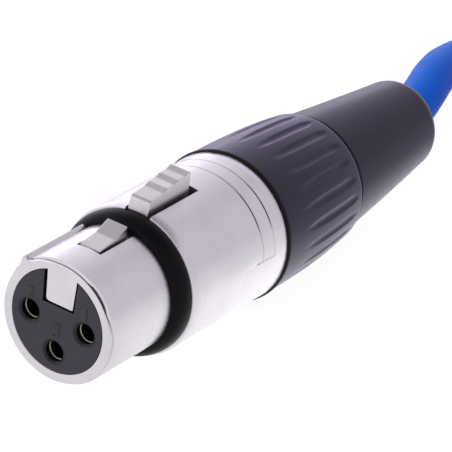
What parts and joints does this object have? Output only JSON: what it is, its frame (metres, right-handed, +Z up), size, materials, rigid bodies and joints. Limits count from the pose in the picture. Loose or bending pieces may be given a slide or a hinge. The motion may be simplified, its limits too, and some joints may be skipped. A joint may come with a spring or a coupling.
{
  "type": "microphone cable",
  "caption": "Microphone lead: female three-pole connector with a push latch, blue cable wound into a tied round coil, and a male connector resting on the coil.",
  "frame": {"origin": "on the table under the middle of the female connector", "axes": "+X runs back along the female connector to its cable, +Z is up with the push latch on top, +Y is to the left seen from behind the connector"},
  "size_m": [0.1744, 0.0968, 0.0475],
  "materials": {
    "nickel": "satin nickel plate",
    "latch_metal": "satin nickel plate",
    "steel": "plain",
    "contact_brass": "gold plated",
    "pin_silver": "silver plated",
    "insert_plastic": "matt",
    "ring_rubber": "smooth",
    "collar_plastic": "smooth",
    "clamp_plastic": "smooth",
    "boot_plastic": "fine satin",
    "relief_rubber": "matt",
    "wire_1": "smooth",
    "wire_2": "smooth",
    "wire_3": "smooth",
    "tie_fabric": "woven hook-and-loop",
    "cable_jacket": "satin"
  },
  "bodies": {
    "lead": {"female_shell": "nickel", "shell_ring": "ring_rubber", "latch_pin": "steel", "latch_spring": "steel", "socket_insert": "insert_plastic", "socket_contact_1": "contact_brass", "socket_contact_2": "contact_brass", "socket_contact_3": "contact_brass", "female_collar": "collar_plastic", "female_clamp": "clamp_plastic", "female_boot_nut": "boot_plastic", "female_bend_relief": "relief_rubber", "female_cable_end": "cable_jacket", "female_wire_1": "wire_1", "female_wire_2": "wire_2", "female_wire_3": "wire_3", "cable_run": "cable_jacket", "cable_coil": "cable_jacket", "cable_tail": "cable_jacket", "coil_tie_1": "tie_fabric", "coil_tie_2": "tie_fabric", "male_shell": "nickel", "pin_insert": "insert_plastic", "pin_contact_1": "pin_silver", "pin_contact_2": "pin_silver", "pin_contact_3": "pin_silver", "male_collar": "collar_plastic", "male_clamp": "clamp_plastic", "male_boot_nut": "boot_plastic", "male_bend_relief": "relief_rubber", "male_cable_end": "cable_jacket", "male_wire_1": "wire_1", "male_wire_2": "wire_2", "male_wire_3": "wire_3"},
    "latch": {"latch_lever": "latch_metal"}
  },
  "joints": [
    {"name": "latch_hinge", "type": "hinge", "parent": "lead", "child": "latch", "pos_m": [-0.035, 0, 0.0152], "axis": [0, 1, 0], "range_deg": [0, 9.5], "stiffness_Nm_per_rad": 0.3, "springref_deg": -8.59, "deforming": ["latch_spring"]}
  ]
}
